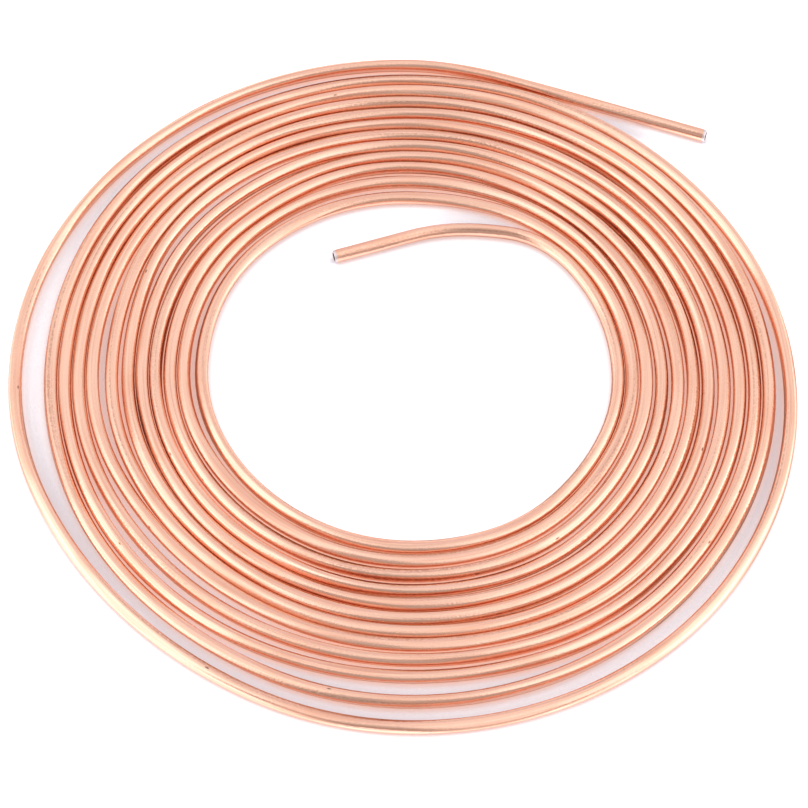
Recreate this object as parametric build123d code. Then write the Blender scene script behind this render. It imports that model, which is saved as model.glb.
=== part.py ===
"""A loose flat coil of small copper tube, lying on the floor, both ends cut and free.

Millimetres, +Z up, the floor is Z = 0 and the origin is the middle of the footprint.
Seen from above the tube runs anticlockwise from its outer end and winds inwards, one
layer high.  Its centre line is built from straight lines and tangent arcs only.
"""
import os
from math import atan2, cos, degrees, pi, radians, sin, sqrt

from build123d import *

# Tube section
TUBE_OD = 4.76
TUBE_WALL = 0.71

# Radius of the outermost turn at each station of a turn, evenly spaced round the coil.
# The first station is at the back, at this angle from +X.
FIRST_STATION = 90.0
OUTER_TURN = [137.5, 139.4, 140.9, 137.3, 141.5, 142.5, 138.4, 132.5]

# Daylight between a turn and the next one in, station by station, one row a turn.
# The coil has sprung open on the left and at the front and lies close at the back.
DAYLIGHT = [
    [2.4, 4.0, 8.0, 4.0, 4.7, 5.4, 2.6, 0.4],
    [0.2, 0.4, 0.3, 1.1, 4.7, 1.0, 0.4, 0.4],
    [0.4, 0.2, 0.2, 2.3, 1.6, 1.0, 0.6, 0.3],
    [0.3, 0.2, 0.2, 2.4, 1.1, 1.0, 0.9, 0.8],
    [0.6, 0.2, 2.2, 0.2, 0.2, 0.8, 1.0, 0.7],
    [0.2, 0.2, 1.2, 0.2, 0.4, 0.9, 0.5, 0.3],
    [0.3, 2.2, 0.2, 0.2, 0.5, 1.0, 0.8, 0.3],
    [0.2, 1.4, 0.2, 0.2, 0.7, 1.0, 1.0, 0.2],
    [0.2, 0.4, 0.4, 0.9, 1.1, 1.2, 0.7, 0.2],
    [1.9, 0.4, 0.3, 0.9, 1.1, 1.0, 0.5, 0.7],
    [2.4, 1.4, 1.6, 1.0, 0.7, 0.5, 0.2, 0.4],
]

# Outer end: it parts from the coil this many degrees short of the first station and
# this much inside its radius, turned out from the coil by the splay.  It bends a
# little more along the ease, and its tip is straight.  The first rise is how far the
# radius still grows from the first station to the next.
LEAVE_BACK = 16.9
LEAVE_DROP = 1.5
OUTER_SPLAY = 1.7
OUTER_EASE = 38.4
EASE_BEND = 0.8
OUTER_STRAIGHT = 40.0
FIRST_RISE = 1.5

# Inner end: it hugs the turn outside it up to the hold, peels off at the last station,
# bends over the open centre to a crest and runs out straight.  Leans are degrees
# turned in from the coil's own round.
HOLD_BACK = 19.0
HOLD_DROP = 0.4
HOLD_LEAN = 1.0
PEEL_LEAN = 6.5
CREST_AHEAD = 26.3
CREST_DROP = 10.4
CREST_LEAN = 18.7
CREST_BEND_RADIUS = 62.5
CREST_BEND = 17.9
INNER_STRAIGHT = 29.5

TUBE_R = TUBE_OD / 2
BORE_R = TUBE_R - TUBE_WALL
PER_TURN = len(OUTER_TURN)
STEP = 360 / PER_TURN


def polar(radius, angle):
    """Point on the floor plan at a radius and an angle in degrees."""
    return (radius * cos(radians(angle)), radius * sin(radians(angle)))


def beyond(point, way, length):
    """The point a length further on from another."""
    return (point[0] + length * way[0], point[1] + length * way[1])


def round_way(angle, lean=0.0):
    """Direction round the coil at an angle, turned in by a lean, in degrees."""
    return polar(1.0, angle + 90 + lean)


def even_slope(before, after):
    """Slope between two steps that never overshoots either of them."""
    if before * after <= 0:
        return 0.0
    return 2 * before * after / (before + after)


def station_radii():
    """Radius at every station of the coil, and its change a step, outermost first."""
    gaps = [gap for row in DAYLIGHT for gap in row]
    radii = list(OUTER_TURN)
    for index, gap in enumerate(gaps):
        radii.append(radii[index] - TUBE_OD - gap)
    slopes = [FIRST_RISE]
    for index in range(1, PER_TURN):
        slopes.append((radii[index + 1] - radii[index - 1]) / 2)
    rises = [after - before for before, after in zip(gaps, gaps[1:])]
    for index in range(len(gaps)):
        before = rises[max(index - 1, 0)]
        after = rises[min(index, len(rises) - 1)]
        slopes.append(slopes[index] - even_slope(before, after))
    return radii, slopes


def outer_end(first_radius):
    """Stops from the outer tip to where the tube joins the coil."""
    leave_angle = FIRST_STATION - LEAVE_BACK
    leave = polar(first_radius - LEAVE_DROP, leave_angle)
    leave_way = round_way(leave_angle, -OUTER_SPLAY)
    tip_way = round_way(leave_angle, -OUTER_SPLAY - EASE_BEND)
    ease_way = round_way(leave_angle, -OUTER_SPLAY - EASE_BEND / 2)
    ease = beyond(leave, ease_way, -OUTER_EASE)
    tip = beyond(ease, tip_way, -OUTER_STRAIGHT)
    return [(tip, tip_way), (ease, tip_way), (leave, leave_way)]


def inner_end(hold_radius, last_radius):
    """Stops from the hold, past the last station and the crest, to the inner tip."""
    last_angle = FIRST_STATION - STEP
    hold_angle = last_angle - HOLD_BACK
    crest_angle = last_angle + CREST_AHEAD
    crest = polar(last_radius - CREST_DROP, crest_angle)
    crest_way = round_way(crest_angle, CREST_LEAN)
    tip_way = round_way(crest_angle, CREST_LEAN + CREST_BEND)
    half_way = round_way(crest_angle, CREST_LEAN + CREST_BEND / 2)
    bend_chord = 2 * CREST_BEND_RADIUS * sin(radians(CREST_BEND / 2))
    run = beyond(crest, half_way, bend_chord)
    return [
        (polar(hold_radius - HOLD_DROP, hold_angle), round_way(hold_angle, HOLD_LEAN)),
        (polar(last_radius, last_angle), round_way(last_angle, PEEL_LEAN)),
        (crest, crest_way),
        (run, tip_way),
        (beyond(run, tip_way, INNER_STRAIGHT), tip_way),
    ]


def centre_line():
    """Stops along the tube from its outer to its inner tip: a point and a direction."""
    radii, slopes = station_radii()
    stops = outer_end(radii[0])
    for index, radius in enumerate(radii[:-1]):
        angle = FIRST_STATION + STEP * index
        lean = -degrees(atan2(slopes[index] / radians(STEP), radius))
        stops.append((polar(radius, angle), round_way(angle, lean)))
    return stops + inner_end(radii[-2], radii[-1])


def arc_pair(start, start_way, end, end_way):
    """Middle point and direction where two arcs meet that join two stops smoothly."""
    vx, vy = end[0] - start[0], end[1] - start[1]
    along = vx * (start_way[0] + end_way[0]) + vy * (start_way[1] + end_way[1])
    spread = 2 * (1 - start_way[0] * end_way[0] - start_way[1] * end_way[1])
    chord = vx * vx + vy * vy
    reach = chord / (along + sqrt(along * along + spread * chord))
    a = beyond(start, start_way, reach)
    b = beyond(end, end_way, -reach)
    middle = ((a[0] + b[0]) / 2, (a[1] + b[1]) / 2)
    return middle, ((b[0] - a[0]) / (2 * reach), (b[1] - a[1]) / (2 * reach))


def lift(point):
    """Floor plan point at the height of the tube's middle."""
    return Vector(point[0], point[1], TUBE_R)


def tube_path(stops):
    """The centre line as one wire of lines and tangent arcs."""
    edges = []
    for (start, start_way), (end, end_way) in zip(stops, stops[1:]):
        if start_way == end_way:
            edges.append(Line(lift(start), lift(end)))
            continue
        middle, middle_way = arc_pair(start, start_way, end, end_way)
        edges.append(TangentArc(lift(start), lift(middle), tangent=Vector(*start_way, 0)))
        edges.append(TangentArc(lift(middle), lift(end), tangent=Vector(*middle_way, 0)))
    return Wire([edge.edge() for edge in edges])


def hollow_tube(path):
    """The ring section swept along the whole centre line."""
    section_plane = Plane(origin=path @ 0, z_dir=path % 0)
    section = section_plane * (Circle(TUBE_R) - Circle(BORE_R))
    return sweep(section, path=path).solid()


stops = centre_line()
path = tube_path(stops)
tube = hollow_tube(path)
box = tube.bounding_box()
shift = Vector(-box.center().X, -box.center().Y, -box.min.Z)
tube = Pos(shift) * tube
tube.label = "copper_tube"

os.makedirs("parts", exist_ok=True)
export_step(tube, "parts/copper_tube.step")

size = tube.bounding_box().size
tip_out, tip_in = [lift(point) + shift for point in (stops[0][0], stops[-1][0])]
print(f"tube length {path.length:.1f} mm, {len(DAYLIGHT) + 1} turns")
print(f"size {size.X:.2f} x {size.Y:.2f} x {size.Z:.2f} mm, volume {tube.volume:.1f} mm3")
print(f"section times length {path.length * pi * (TUBE_R**2 - BORE_R**2):.1f} mm3")
print(f"outer tip {tip_out}, heading {stops[0][1]}")
print(f"inner tip {tip_in}, heading {stops[-1][1]}")
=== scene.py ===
"""Looks of a loose flat coil of small bright copper tube, lying on a white studio floor.

Everything is in metres, +Z up, the floor is Z = 0.  Seen from above the tube runs
anticlockwise from its outer end and winds inwards, one layer high.
"""

import bpy
import numpy as np
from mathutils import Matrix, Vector

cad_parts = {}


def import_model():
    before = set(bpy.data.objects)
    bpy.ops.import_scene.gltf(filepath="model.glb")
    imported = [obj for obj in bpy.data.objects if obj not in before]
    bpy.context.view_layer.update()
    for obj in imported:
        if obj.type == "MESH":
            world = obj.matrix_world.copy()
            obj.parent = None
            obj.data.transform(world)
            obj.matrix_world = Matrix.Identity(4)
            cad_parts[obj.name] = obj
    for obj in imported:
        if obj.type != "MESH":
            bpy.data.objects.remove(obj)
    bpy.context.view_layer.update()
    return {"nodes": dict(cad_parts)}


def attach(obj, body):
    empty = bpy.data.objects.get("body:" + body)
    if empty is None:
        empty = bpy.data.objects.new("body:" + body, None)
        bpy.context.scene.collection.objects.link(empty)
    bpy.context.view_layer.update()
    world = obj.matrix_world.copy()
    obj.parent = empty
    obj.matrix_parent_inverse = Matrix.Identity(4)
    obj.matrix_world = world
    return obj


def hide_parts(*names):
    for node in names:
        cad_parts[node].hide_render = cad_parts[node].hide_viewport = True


MM = 0.001

# Tube section.
TUBE_OD = 4.76 * MM
TUBE_WALL = 0.71 * MM
TUBE_R = TUBE_OD / 2
BORE_R = TUBE_R - TUBE_WALL

# Radius of the outermost turn at each station of a turn, evenly spaced round the coil.
# The first station is at the back, at this angle from +X in degrees.
FIRST_STATION = 90.0
OUTER_TURN = MM * np.array([137.5, 139.4, 140.9, 137.3, 141.5, 142.5, 138.4, 132.5])

# Daylight between a turn and the next one in, station by station, one row a turn.
DAYLIGHT = MM * np.array([
    [2.4, 4.0, 8.0, 4.0, 4.7, 5.4, 2.6, 0.4],
    [0.2, 0.4, 0.3, 1.1, 4.7, 1.0, 0.4, 0.4],
    [0.4, 0.2, 0.2, 2.3, 1.6, 1.0, 0.6, 0.3],
    [0.3, 0.2, 0.2, 2.4, 1.1, 1.0, 0.9, 0.8],
    [0.6, 0.2, 2.2, 0.2, 0.2, 0.8, 1.0, 0.7],
    [0.2, 0.2, 1.2, 0.2, 0.4, 0.9, 0.5, 0.3],
    [0.3, 2.2, 0.2, 0.2, 0.5, 1.0, 0.8, 0.3],
    [0.2, 1.4, 0.2, 0.2, 0.7, 1.0, 1.0, 0.2],
    [0.2, 0.4, 0.4, 0.9, 1.1, 1.2, 0.7, 0.2],
    [1.9, 0.4, 0.3, 0.9, 1.1, 1.0, 0.5, 0.7],
    [2.4, 1.4, 1.6, 1.0, 0.7, 0.5, 0.2, 0.4],
])
PER_TURN = len(OUTER_TURN)
STEP = 360 / PER_TURN

# Outer end: how far before the first station and how far inside its radius it parts
# from the coil, its splay, its easy bend, its straight tip, and how much the radius
# still grows from the first station to the next.  All angles here are in degrees.
LEAVE_BACK = 16.9
LEAVE_DROP = 1.5 * MM
OUTER_SPLAY = 1.7
OUTER_EASE = 38.4 * MM
EASE_BEND = 0.8
OUTER_STRAIGHT = 40.0 * MM
FIRST_RISE = 1.5 * MM

# Inner end: it hugs the turn outside it up to the hold, peels off at the last station,
# bends over the open centre to a crest and runs out straight.  Leans are turned in.
HOLD_BACK = 19.0
HOLD_DROP = 0.4 * MM
HOLD_LEAN = 1.0
PEEL_LEAN = 6.5
CREST_AHEAD = 26.3
CREST_DROP = 10.4 * MM
CREST_LEAN = 18.7
CREST_BEND_RADIUS = 62.5 * MM
CREST_BEND = 17.9
INNER_STRAIGHT = 29.5 * MM

# Mesh of the tube: distance between rings, outside and in the bore, flats round a ring,
# and how many points along the centre line its footprint is measured over.
RING_PITCH = 4.6 * MM
BORE_RING_PITCH = 14.0 * MM
FLATS = 40
FOOTPRINT_POINTS = 60000

# Cut ends: taking off the burr rolls the lip in a little over the last stretch.
LIP_LENGTH = 0.9 * MM
LIP_DROP = 0.30 * MM
LIP_RINGS = 9

# Relief of the copper's finish: its long swells, its draw lines and its grain.
SWELL_DEPTH = 4.2 * MM
LINE_DEPTH = 0.07 * MM
GRAIN_DEPTH = 0.05 * MM

# Share of the scattered points that stay without a speck.
CLEAN_SHARE = 0.96

# Floor: half its side, how near a turn has to be to shelter it, how many rays look for
# one, and how far those that lean go sideways and up.
FLOOR_HALF = 3.0
SHELTER_REACH = 9.0 * MM
SHELTER_SAMPLES = 4
LEAN_ASIDE = 0.8
LEAN_UP = 0.6

# How much painted glow the floor has: in the open, growing from inside the coil to outside it
# between two distances from its middle, in wide gaps, in gaps and in crevices.
# Its lower glows in the gaps are painted shade, its higher one in crevices painted copper
# light.
INSIDE_GLOW = 0.42
INSIDE_TO = 75.0 * MM
FLOOR_GLOW = 0.85
OUTSIDE_FROM = 125.0 * MM
WIDE_GAP_GLOW = 0.06
GAP_GLOW = 0.34
CREVICE_GLOW = 0.80

# How bright the parts of the studio's tent are.
SKIRT_GLOW = 1.00
TENT_GLOW = 1.08
TOP_GLOW = 0.90
BACK_GLOW = 0.92
FRONT_GLOW = 0.54
LEFT_PANEL = 1.74
RIGHT_PANEL = 1.62
PANEL_FOOT = 3.20
OPENING_GLOW = 0.50

# Camera: it looks at this point along +Y, down by this angle in degrees.
AIM = Vector((0.66 * MM, -10.48 * MM, 0.0))
CAMERA_HEIGHT_ANGLE = 59.0
CAMERA_DISTANCE = 1144.5 * MM
CAMERA_NEAR = 0.05
CAMERA_FAR = 20.0
LENS_MM = 141.65
SENSOR_MM = 36.0


def linear(hex_colour):
    """sRGB hex text to linear RGBA."""
    parts = np.array([int(hex_colour[i:i + 2], 16) for i in (1, 3, 5)]) / 255
    low = parts / 12.92
    high = ((parts + 0.055) / 1.055) ** 2.4
    return tuple(np.where(parts <= 0.04045, low, high)) + (1.0,)


def polar(radius, angle):
    """Points at radii and angles in degrees, as an array of (x, y) rows."""
    turned = np.radians(angle)
    return np.stack([radius * np.cos(turned), radius * np.sin(turned)], axis=-1)


def round_way(angle, lean=0.0):
    """Unit direction round the coil at an angle, turned in by a lean, in degrees."""
    return polar(1.0, np.asarray(angle) + 90 + lean)


def station_stops():
    """Radius at every station, and point and direction at all but the last."""
    rows = len(DAYLIGHT) + 1
    drops = np.zeros((rows, PER_TURN))
    drops[1:] = np.cumsum(TUBE_OD + DAYLIGHT, axis=0)
    radii = (OUTER_TURN - drops).ravel()

    # The slope at a station is that of the turn outside it, less the gap's own slope,
    # the harmonic mean of the steps before and after where both go the same way.
    rises = np.diff(DAYLIGHT.ravel())
    before = np.concatenate([rises[:1], rises])
    after = np.concatenate([rises, rises[-1:]])
    same_way = before * after > 0
    both = np.where(same_way, before + after, 1)
    even = np.where(same_way, 2 * before * after / both, 0)
    first = np.empty(PER_TURN)
    first[0] = FIRST_RISE
    first[1:] = (radii[2:PER_TURN + 1] - radii[:PER_TURN - 1]) / 2
    narrowing = np.zeros((rows, PER_TURN))
    narrowing[1:] = np.cumsum(even.reshape(-1, PER_TURN), axis=0)
    slopes = (first - narrowing).ravel()

    angles = FIRST_STATION + STEP * np.arange(radii.size)
    leans = -np.degrees(np.arctan2(slopes / np.radians(STEP), radii))
    return radii, polar(radii, angles)[:-1], round_way(angles, leans)[:-1]


def outer_end(first_radius):
    """Points and directions from the outer tip to where the tube joins the coil."""
    leave_angle = FIRST_STATION - LEAVE_BACK
    leave = polar(first_radius - LEAVE_DROP, leave_angle)
    tip_way = round_way(leave_angle, -OUTER_SPLAY - EASE_BEND)
    ease = leave - OUTER_EASE * round_way(leave_angle, -OUTER_SPLAY - EASE_BEND / 2)
    tip = ease - OUTER_STRAIGHT * tip_way
    return [tip, ease, leave], [tip_way, tip_way, round_way(leave_angle, -OUTER_SPLAY)]


def inner_end(hold_radius, last_radius):
    """Points and directions from the hold, over the crest, to the inner tip."""
    last_angle = FIRST_STATION - STEP
    hold_angle = last_angle - HOLD_BACK
    crest_angle = last_angle + CREST_AHEAD
    crest = polar(last_radius - CREST_DROP, crest_angle)
    tip_way = round_way(crest_angle, CREST_LEAN + CREST_BEND)
    bend_chord = 2 * CREST_BEND_RADIUS * np.sin(np.radians(CREST_BEND / 2))
    run = crest + bend_chord * round_way(crest_angle, CREST_LEAN + CREST_BEND / 2)
    points = [
        polar(hold_radius - HOLD_DROP, hold_angle),
        polar(last_radius, last_angle),
        crest,
        run,
        run + INNER_STRAIGHT * tip_way,
    ]
    ways = [
        round_way(hold_angle, HOLD_LEAN),
        round_way(last_angle, PEEL_LEAN),
        round_way(crest_angle, CREST_LEAN),
        tip_way,
        tip_way,
    ]
    return points, ways


def across(one, other):
    """Z part of the cross product of rows of plane vectors."""
    return one[:, 0] * other[:, 1] - one[:, 1] * other[:, 0]


def dot(one, other):
    """Dot product of rows of plane vectors."""
    return np.sum(one * other, axis=1)


def centre_arcs():
    """Start, direction, length and curvature of every arc of the centre line.

    Two arcs join each stop to the next.  They meet half way between the points that lie
    an equal reach ahead of the one stop and behind the other.  Their common direction
    there is from the first of these points to the second.
    """
    radii, points, ways = station_stops()
    out_points, out_ways = outer_end(radii[0])
    in_points, in_ways = inner_end(radii[-2], radii[-1])
    points = np.concatenate([out_points, points, in_points])
    ways = np.concatenate([out_ways, ways, in_ways])
    start, end = points[:-1], points[1:]
    start_way, end_way = ways[:-1], ways[1:]
    gone = end - start
    along = dot(gone, start_way + end_way)
    spread = 2 * (1 - dot(start_way, end_way))
    chord = dot(gone, gone)
    reach = (chord / (along + np.sqrt(along ** 2 + spread * chord)))[:, None]
    ahead = start + reach * start_way
    behind = end - reach * end_way
    middle = (ahead + behind) / 2
    middle_way = (behind - ahead) / (2 * reach)

    begins = np.stack([start, middle], axis=1).reshape(-1, 2)
    begin_ways = np.stack([start_way, middle_way], axis=1).reshape(-1, 2)
    chords = np.stack([middle, end], axis=1).reshape(-1, 2) - begins
    spans = np.sqrt(dot(chords, chords))
    half_turn = np.arcsin(np.clip(across(begin_ways, chords) / spans, -1, 1))
    curvature = 2 * np.sin(half_turn) / spans
    lengths = spans / np.sinc(half_turn / np.pi)
    return begins, begin_ways, lengths, curvature


def to_the_left(way):
    """Rows of plane directions, each turned left by a quarter of a turn."""
    return np.stack([-way[:, 1], way[:, 0]], axis=1)


def along_line(arcs, distance):
    """Points and directions on the centre line at distances from its outer tip.

    A point on an arc lies ahead of the arc's start by the sine of the angle turned,
    and to the left of it by one less the cosine, both divided by the curvature.  They
    are written with sinc, which also holds where the line is straight.
    """
    begins, ways, lengths, curvature = arcs
    ends = np.cumsum(lengths)
    which = np.minimum(np.searchsorted(ends, distance), lengths.size - 1)
    gone = (distance - (ends - lengths)[which])[:, None]
    turned = gone * curvature[which][:, None]
    way = ways[which]
    left = to_the_left(way)
    ahead = gone * np.sinc(turned / np.pi)
    aside = gone * (turned / 2) * np.sinc(turned / 2 / np.pi) ** 2
    point = begins[which] + ahead * way + aside * left
    return point, np.cos(turned) * way + np.sin(turned) * left


def line_length(arcs):
    """Whole length of the centre line."""
    return float(np.sum(arcs[2]))


def footprint_shift(arcs):
    """Move that brings the middle of the centre line's footprint to the origin."""
    places = along_line(arcs, np.linspace(0, line_length(arcs), FOOTPRINT_POINTS))[0]
    middle = (places.min(axis=0) + places.max(axis=0)) / 2
    return np.array([-middle[0], -middle[1], 0.0])


def ring_places(length):
    """Distances of the rings: even along the tube, and eased together at the two lips."""
    lip = LIP_LENGTH * (1 - np.cos(np.linspace(0, np.pi / 2, LIP_RINGS)))
    count = int(round((length - 2 * LIP_LENGTH) / RING_PITCH)) + 1
    middle = np.linspace(LIP_LENGTH, length - LIP_LENGTH, count)
    return np.concatenate([lip[:-1], middle, length - lip[-2::-1]])


def lip_radius(distance, length):
    """Outer radius: the tube's own, and a quarter of an ellipse down at each lip."""
    from_tip = np.minimum(distance, length - distance)
    share = np.clip(1 - from_tip / LIP_LENGTH, 0, 1)
    return TUBE_R - LIP_DROP * (1 - np.sqrt(1 - share ** 2))


def tube_rings(arcs, distance, radius):
    """Rings of points round the centre line, and the same points on a straightened tube.

    A point is the centre plus the radius times the cosine of its angle to the left and
    times the sine of its angle upwards.
    """
    centre, way = along_line(arcs, distance)
    left = to_the_left(way)
    angle = 2 * np.pi * np.arange(FLATS) / FLATS - np.pi / 2
    aside = radius[:, None] * np.cos(angle)
    height = radius[:, None] * np.sin(angle)
    flat = centre[:, None, :] + aside[:, :, None] * left[:, None, :]
    points = np.concatenate([flat, (TUBE_R + height)[:, :, None]], axis=2)
    run = np.broadcast_to(distance[:, None], aside.shape)
    straight = np.stack([run, aside, height], axis=2)
    return points.reshape(-1, 3), straight.reshape(-1, 3)


def wall_quads(first, rings, outward):
    """Quads between neighbouring rings, by point number, facing out or in."""
    ring = np.arange(rings - 1)[:, None] * FLATS
    here = np.arange(FLATS)[None, :]
    there = (here + 1) % FLATS
    corners = [ring + here, ring + there, ring + FLATS + there, ring + FLATS + here]
    if not outward:
        corners.reverse()
    return first + np.stack(corners, axis=2).reshape(-1, 4)


def make_mesh(name, points, faces, smooth, marks, material_of, materials):
    """A mesh from arrays of points, a list of face arrays and one material index a face."""
    mesh = bpy.data.meshes.new(name)
    corners = np.concatenate([f.ravel() for f in faces]).astype(np.int32)
    sizes = np.concatenate([np.full(len(f), f.shape[1]) for f in faces]).astype(np.int32)
    starts = (np.cumsum(sizes) - sizes).astype(np.int32)
    mesh.vertices.add(len(points))
    mesh.vertices.foreach_set("co", points.astype(np.float32).ravel())
    mesh.loops.add(corners.size)
    mesh.loops.foreach_set("vertex_index", corners)
    mesh.polygons.add(sizes.size)
    mesh.polygons.foreach_set("loop_start", starts)
    mesh.polygons.foreach_set("loop_total", sizes)
    for material in materials:
        mesh.materials.append(material)
    mesh.polygons.foreach_set("material_index", material_of.astype(np.int32))
    mesh.polygons.foreach_set("use_smooth", smooth)
    for mark, values in marks.items():
        layer = mesh.attributes.new(mark, "FLOAT_VECTOR", "POINT")
        layer.data.foreach_set("vector", values.astype(np.float32).ravel())
    mesh.update()
    mesh.validate()
    piece = bpy.data.objects.new(name, mesh)
    bpy.context.scene.collection.objects.link(piece)
    return piece


def copper_tube(materials):
    """The whole tube: outer wall with rolled lips, bore wall and the two cut faces.

    The first material is the outer wall's, the second that of the lips and the cut
    faces, and the third the bore's.
    """
    arcs = centre_arcs()
    length = line_length(arcs)
    outer_at = ring_places(length)
    bore_at = np.linspace(0, length, int(round(length / BORE_RING_PITCH)) + 1)
    outer, outer_straight = tube_rings(arcs, outer_at, lip_radius(outer_at, length))
    bore, bore_straight = tube_rings(arcs, bore_at, np.full(bore_at.size, BORE_R))
    points = np.concatenate([outer, bore]) + footprint_shift(arcs)
    straight = np.concatenate([outer_straight, bore_straight])

    bore_first = len(outer)
    outer_last = bore_first - FLATS
    bore_last = len(points) - FLATS
    around = np.arange(FLATS)
    after = (around + 1) % FLATS
    start_face = np.stack([
        around,
        bore_first + around,
        bore_first + after,
        after,
    ], axis=1)
    end_face = np.stack([
        outer_last + after,
        bore_last + after,
        bore_last + around,
        outer_last + around,
    ], axis=1)
    outer_wall = wall_quads(0, outer_at.size, True)
    bore_wall = wall_quads(bore_first, bore_at.size, False)
    faces = [outer_wall, bore_wall, start_face, end_face]

    # Material numbers: the lips have that of the cut faces, the rest of the outer wall 0.
    ring = np.arange(len(outer_wall)) // FLATS
    rolled = np.minimum(ring, outer_at.size - 2 - ring) < LIP_RINGS - 1
    cut = np.ones(len(start_face) + len(end_face))
    kinds = np.concatenate([rolled, np.full(len(bore_wall), 2), cut])
    walls = np.ones(len(outer_wall) + len(bore_wall))
    smooth = np.concatenate([walls, 1 - cut]).astype(bool)
    marks = {"straightened": straight}
    return make_mesh("copper_tube_drawn", points, faces, smooth, marks, kinds, materials)


def node(tree, kind, links=None, **settings):
    """Adds a node with its settings; links maps its inputs to sockets or to values."""
    made = tree.nodes.new(kind)
    for name, value in settings.items():
        setattr(made, name, value)
    for name, value in (links or {}).items():
        if isinstance(value, bpy.types.NodeSocket):
            tree.links.new(value, made.inputs[name])
        else:
            made.inputs[name].default_value = value
    return made


def new_material(name):
    """An empty node material, its tree and its output node."""
    material = bpy.data.materials.new(name)
    material.use_nodes = True
    tree = material.node_tree
    tree.nodes.clear()
    return material, tree, node(tree, "ShaderNodeOutputMaterial")


def drawn_copper():
    """Bright drawn copper: the die leaves it shiny, with faint lines along the tube.

    Coiling and handling dull it in long soft patches, grain it in narrow brown streaks,
    and here and there leave a small dark speck.
    """
    material, tree, output = new_material("drawn_copper")
    straightened = node(tree, "ShaderNodeAttribute", attribute_name="straightened")
    place = straightened.outputs["Vector"]

    def stretched_noise(along, round_it, detail, roughness=0.55):
        """Noise with so many features a metre along the tube and across it."""
        scaled = node(tree, "ShaderNodeMapping", {
            "Vector": place,
            "Scale": (along, round_it, round_it),
        })
        noise = node(tree, "ShaderNodeTexNoise", {
            "Vector": scaled.outputs["Vector"],
            "Scale": 1.0,
            "Detail": detail,
            "Roughness": roughness,
        })
        return noise.outputs["Fac"]

    # Draw lines: real ones are a few hundredths of a millimetre apart, too fine to show,
    # so they are drawn about half a millimetre wide and some centimetres long.
    lines = stretched_noise(22.0, 1500.0, 3.0, 0.6)
    # Patches of handling, a few centimetres long, and grain of somewhat under 1 mm.
    patches = stretched_noise(35.0, 190.0, 4.0)
    grain = stretched_noise(1100.0, 1500.0, 2.0)
    # Specks a millimetre or two long and a third as wide, at a few of many points.
    scattered = node(tree, "ShaderNodeMapping", {
        "Vector": place,
        "Scale": (130.0, 380.0, 380.0),
    })
    cells = node(tree, "ShaderNodeTexVoronoi", {
        "Vector": scattered.outputs["Vector"],
        "Scale": 1.0,
    })

    # Each mark is a soft step of its pattern, from one edge and level to the other.
    marks = {}
    for mark, pattern, edge, far_edge, level, far_level in (
        ("dull", patches, 0.46, 0.70, 0.0, 1.0),
        ("shine", patches, 0.46, 0.70, 0.20, 0.31),
        # How worn the tube is changes slowly along it, over a third of a metre or so.
        ("wear", stretched_noise(3.1, 0.0, 2.0), 0.36, 0.64, 0.78, 1.28),
        ("dark_line", lines, 0.50, 0.72, 0.0, 0.50),
        ("pale_line", lines, 0.50, 0.30, 0.0, 0.50),
        # Brown streaks a millimetre or two wide and a hand long, broken up by the grain.
        ("streak", stretched_noise(7.0, 520.0, 3.0), 0.54, 0.70, 0.0, 0.52),
        ("grained", grain, 0.36, 0.62, 0.15, 1.0),
        ("speck", cells.outputs["Distance"], 0.05, 0.15, 0.85, 0.0),
    ):
        step = node(tree, "ShaderNodeMapRange", {
            "Value": pattern,
            "From Min": edge,
            "From Max": far_edge,
            "To Min": level,
            "To Max": far_level,
        }, interpolation_type="SMOOTHSTEP")
        marks[mark] = step.outputs["Result"]
    chosen = node(tree, "ShaderNodeSeparateColor", {"Color": cells.outputs["Color"]})
    rare = node(tree, "ShaderNodeMath", {
        0: chosen.outputs["Red"],
        1: CLEAN_SHARE,
    }, operation="GREATER_THAN")
    speck = node(tree, "ShaderNodeMath", {
        0: marks["speck"],
        1: rare.outputs[0],
    }, operation="MULTIPLY")
    streak = node(tree, "ShaderNodeMath", {
        0: marks["streak"],
        1: marks["grained"],
    }, operation="MULTIPLY")

    # The clean metal, and over it each stain in the share its mark gives.
    colour = linear("#F6C5AE")
    for share, stain in (
        (marks["dull"], "#F0BAA1"),
        (marks["dark_line"], "#DDA58C"),
        (marks["pale_line"], "#FFD4BE"),
        (streak.outputs[0], "#A9775E"),
        (speck.outputs[0], "#5A3628"),
    ):
        stained = node(tree, "ShaderNodeMix", {
            "Factor": share,
            "A": colour,
            "B": linear(stain),
        }, data_type="RGBA")
        colour = stained.outputs["Result"]

    # Shiny where it is clean, duller in the patches and wherever the tube is worn.
    rough = node(tree, "ShaderNodeMath", {
        0: marks["shine"],
        1: marks["wear"],
    }, operation="MULTIPLY")

    # The wall isn't quite true: coiling leaves it some degrees off, in long soft swells.
    untrue = node(tree, "ShaderNodeBump", {
        "Height": stretched_noise(12.0, 110.0, 1.0),
        "Strength": 1.0,
        "Distance": SWELL_DEPTH,
    })
    drawn = node(tree, "ShaderNodeBump", {
        "Height": lines,
        "Strength": 1.0,
        "Distance": LINE_DEPTH,
        "Normal": untrue.outputs["Normal"],
    })
    grainy = node(tree, "ShaderNodeBump", {
        "Height": grain,
        "Strength": 1.0,
        "Distance": GRAIN_DEPTH,
        "Normal": drawn.outputs["Normal"],
    })
    # The tint keeps the grazing edges from going white, as a clean mirror's would.
    shader = node(tree, "ShaderNodeBsdfPrincipled", {
        "Base Color": colour,
        "Metallic": 1.0,
        "Specular Tint": linear("#C4B0A6"),
        "Roughness": rough.outputs[0],
        "Normal": grainy.outputs["Normal"],
    })
    tree.links.new(shader.outputs["BSDF"], output.inputs["Surface"])
    return material


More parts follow.
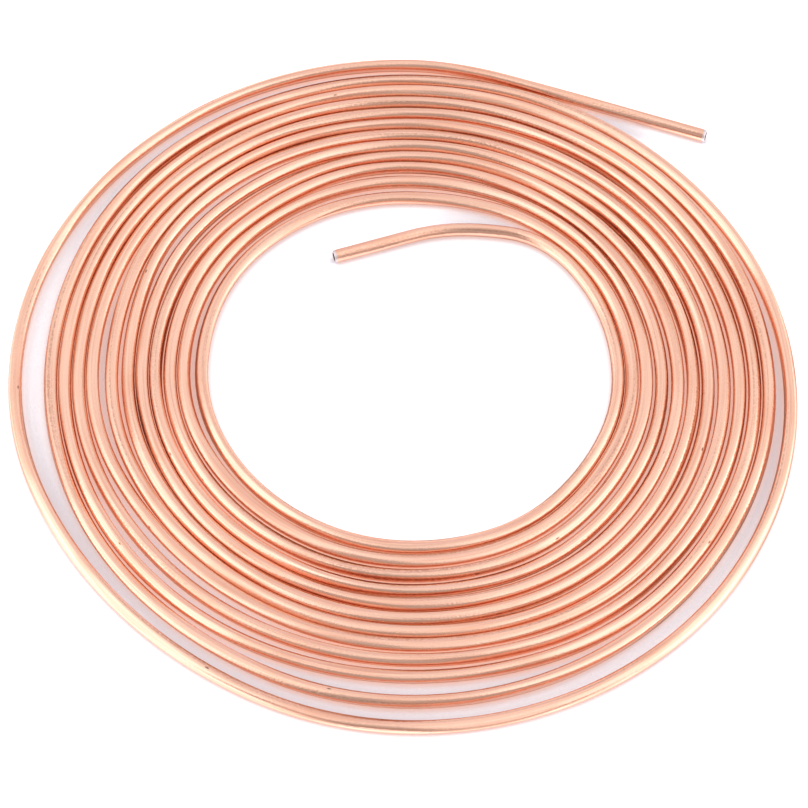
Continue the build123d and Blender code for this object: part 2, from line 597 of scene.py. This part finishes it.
def plain_metal(name, hex_colour, roughness):
    """A metal of one colour and one roughness all over."""
    material, tree, output = new_material(name)
    shader = node(tree, "ShaderNodeBsdfPrincipled", {
        "Base Color": linear(hex_colour),
        "Metallic": 1.0,
        "Roughness": roughness,
    })
    tree.links.new(shader.outputs["BSDF"], output.inputs["Surface"])
    return material


def sawn_copper():
    """Freshly sawn copper: a dull, pale, silvery face."""
    return plain_metal("sawn_copper", "#D9CDD0", 0.4)


def bore_painted_shade():
    """The bore's wall: unpolished copper, painted dark as painted shade for the little light
    that reaches into the bore.
    """
    return plain_metal("bore_painted_shade", "#4A3A36", 0.5)


def painted_floor_light_and_shade():
    """A white sheet, with painted light and shade set by how sheltered the coil leaves it.

    It is white in the open, with a painted glow brighter outside the coil than inside it.
    In the gaps between turns it is painted a lavender shade, and glows the less the wider they
    are.  In the crevices it is painted coppery, and glows more as painted light thrown to and
    fro.
    """
    material, tree, output = new_material("painted_floor_light_and_shade")
    place = node(tree, "ShaderNodeTexCoord").outputs["Object"]
    level = node(tree, "ShaderNodeVectorMath", {
        0: place,
        1: (1.0, 1.0, 0.0),
    }, operation="MULTIPLY")
    away = node(tree, "ShaderNodeVectorMath", {0: level.outputs[0]}, operation="NORMALIZE")

    def openness(sideways):
        """How open the floor is, looked at upright or leaning out from the coil's middle."""
        lean = node(tree, "ShaderNodeVectorMath", {
            0: away.outputs[0],
            1: (sideways, sideways, 0.0),
            2: (0.0, 0.0, LEAN_UP),
        }, operation="MULTIPLY_ADD")
        shelter = node(tree, "ShaderNodeAmbientOcclusion", {
            "Distance": SHELTER_REACH,
            "Normal": lean.outputs[0],
        }, samples=SHELTER_SAMPLES)
        return shelter.outputs["AO"]

    upright = openness(0.0)
    side = node(tree, "ShaderNodeMath", {
        0: openness(LEAN_ASIDE),
        1: openness(-LEAN_ASIDE),
    }, operation="MAXIMUM")

    # Shares of how free the floor is to one side and upwards, and of how wide a gap is.
    shares = []
    for value, closed, opened in (
        (side.outputs[0], 0.80, 0.97),
        (upright, 0.30, 0.85),
        (upright, 0.12, 0.34),
        (upright, 0.36, 0.62),
    ):
        share = node(tree, "ShaderNodeMapRange", {
            "Value": value,
            "From Min": closed,
            "From Max": opened,
        })
        shares.append(share.outputs["Result"])
    free_aside, free_up, gap, wide_gap = shares
    free = node(tree, "ShaderNodeMath", {
        0: free_aside,
        1: free_up,
    }, operation="MULTIPLY").outputs[0]

    # Painted shade under the white: coppery in crevices as painted copper light, lavender in
    # gaps.
    painted_gap_shade = node(tree, "ShaderNodeMix", {
        "Factor": gap,
        "A": linear("#E2B49A"),
        "B": linear("#D4D2D9"),
    }, data_type="RGBA")
    shade = node(tree, "ShaderNodeMix", {
        "Factor": free,
        "A": painted_gap_shade.outputs["Result"],
        "B": linear("#F8F5F7"),
    }, data_type="RGBA")

    # Painted glow: strongest in crevices, fainter the wider a gap, brighter in the open
    # outside the coil.
    narrow = node(tree, "ShaderNodeMix", {"Factor": gap, "A": CREVICE_GLOW, "B": GAP_GLOW})
    dim = node(tree, "ShaderNodeMix", {
        "Factor": wide_gap,
        "A": narrow.outputs["Result"],
        "B": WIDE_GAP_GLOW,
    })
    from_middle = node(tree, "ShaderNodeVectorMath", {0: level.outputs[0]}, operation="LENGTH")
    open_glow = node(tree, "ShaderNodeMapRange", {
        "Value": from_middle.outputs["Value"],
        "From Min": INSIDE_TO,
        "From Max": OUTSIDE_FROM,
        "To Min": INSIDE_GLOW,
        "To Max": FLOOR_GLOW,
    })
    glow = node(tree, "ShaderNodeMix", {
        "Factor": free,
        "A": dim.outputs["Result"],
        "B": open_glow.outputs["Result"],
    })
    sheet = node(tree, "ShaderNodeBsdfPrincipled", {
        "Base Color": shade.outputs["Result"],
        "Roughness": 1.0,
        "Specular IOR Level": 0.0,
        "Emission Color": shade.outputs["Result"],
        "Emission Strength": glow.outputs["Result"],
    })
    tree.links.new(sheet.outputs["BSDF"], output.inputs["Surface"])
    return material


def white_floor():
    """The floor: one square sheet, much larger than the view."""
    mesh = bpy.data.meshes.new("floor")
    half = FLOOR_HALF
    corners = [(-half, -half, 0), (half, -half, 0), (half, half, 0), (-half, half, 0)]
    mesh.from_pydata(corners, [], [(0, 1, 2, 3)])
    mesh.materials.append(painted_floor_light_and_shade())
    floor = bpy.data.objects.new("floor", mesh)
    bpy.context.scene.collection.objects.link(floor)


def studio_light():
    """A white tent with a wide bright panel over each side and a dimmer, warmer front.

    The light depends on direction alone.  A panel is where a direction's parts along
    three vectors are all past soft edges, and it is brightest at its foot, near the
    floor.  The tent is a little dimmer at its skirt, its top and its back, and has a
    grey opening for the camera.
    """
    world = bpy.data.worlds.new("studio")
    bpy.context.scene.world = world
    world.use_nodes = True
    tree = world.node_tree
    tree.nodes.clear()
    way = node(tree, "ShaderNodeTexCoord").outputs["Generated"]

    def soft_edge(toward, dark, bright, within=1.0):
        """0 to 1 between two levels of a direction's part along a vector, within a mask."""
        part = node(tree, "ShaderNodeVectorMath", {0: way, 1: toward}, operation="DOT_PRODUCT")
        edge = node(tree, "ShaderNodeMapRange", {
            "Value": part.outputs["Value"],
            "From Min": dark,
            "From Max": bright,
            "To Max": within,
        }, interpolation_type="SMOOTHSTEP")
        return edge.outputs["Result"]

    high = soft_edge((0.0, 0.0, 1.0), 0.0, 0.75)
    top = soft_edge((0.0, 0.0, 1.0), 0.90, 1.0)
    back = soft_edge((0.0, 0.80, 0.60), 0.90, 0.99)
    front = soft_edge((-0.10, -1.0, 0.0), 0.10, 0.72)
    left = soft_edge((-1.0, 0.0, 0.0), 0.05, 0.42)
    left = soft_edge((0.0, -1.0, 0.45), -0.13, 0.10, left)
    left = soft_edge((-0.589, 0.770, 0.246), -0.10, 0.14, left)
    right = soft_edge((1.0, 0.0, 0.0), -0.08, 0.38)
    right = soft_edge((0.15, -1.0, 0.0), -0.39, 0.08, right)
    right = soft_edge((0.353, 0.706, 0.614), -0.16, 0.08, right)
    left_foot = soft_edge((0.0, 0.0, -1.0), -0.45, -0.05, left)
    right_foot = soft_edge((0.0, 0.0, -1.0), -0.45, -0.05, right)
    opening = soft_edge((-0.10, -0.66, 0.75), 0.94, 1.0)

    # Each part covers those before it.
    strength = SKIRT_GLOW
    colour = linear("#FFFFFF")
    for mask, level, tint in (
        (high, TENT_GLOW, "#FFFFFF"),
        (top, TOP_GLOW, "#FFFFFF"),
        (back, BACK_GLOW, "#FFF4FA"),
        (front, FRONT_GLOW, "#FFF2EE"),
        (left, LEFT_PANEL, "#FFFFFF"),
        (right, RIGHT_PANEL, "#FFFFFF"),
        (left_foot, PANEL_FOOT, "#FFFFFF"),
        (right_foot, PANEL_FOOT, "#FFFFFF"),
        (opening, OPENING_GLOW, "#FFFFFF"),
    ):
        blend = node(tree, "ShaderNodeMix", {"Factor": mask, "A": strength, "B": level})
        strength = blend.outputs["Result"]
        tinted = node(tree, "ShaderNodeMix", {
            "Factor": mask,
            "A": colour,
            "B": linear(tint),
        }, data_type="RGBA")
        colour = tinted.outputs["Result"]
    glow = node(tree, "ShaderNodeBackground", {"Color": colour, "Strength": strength})
    output = node(tree, "ShaderNodeOutputWorld")
    tree.links.new(glow.outputs["Background"], output.inputs["Surface"])


def camera():
    """The camera, set back from its aim along its line of sight."""
    lens = bpy.data.cameras.new("camera")
    lens.lens = LENS_MM
    lens.sensor_width = SENSOR_MM
    lens.clip_start = CAMERA_NEAR
    lens.clip_end = CAMERA_FAR
    seer = bpy.data.objects.new("camera", lens)
    bpy.context.scene.collection.objects.link(seer)
    down = np.radians(CAMERA_HEIGHT_ANGLE)
    back = Vector((0.0, -np.cos(down), np.sin(down)))
    seer.location = AIM + CAMERA_DISTANCE * back
    seer.rotation_euler = (np.pi / 2 - down, 0.0, 0.0)
    bpy.context.scene.camera = seer


def main():
    """Dresses the part, lays the floor, lights it and sets the camera."""
    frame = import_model()
    materials = [drawn_copper(), sawn_copper(), bore_painted_shade()]
    tube = copper_tube(materials)
    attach(tube, "root")
    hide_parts("copper_tube")
    solid = frame["nodes"]["copper_tube"]
    solid.data.materials.clear()
    solid.data.materials.append(materials[0])
    white_floor()
    studio_light()
    camera()
    bpy.context.scene.view_settings.view_transform = "Standard"


main()
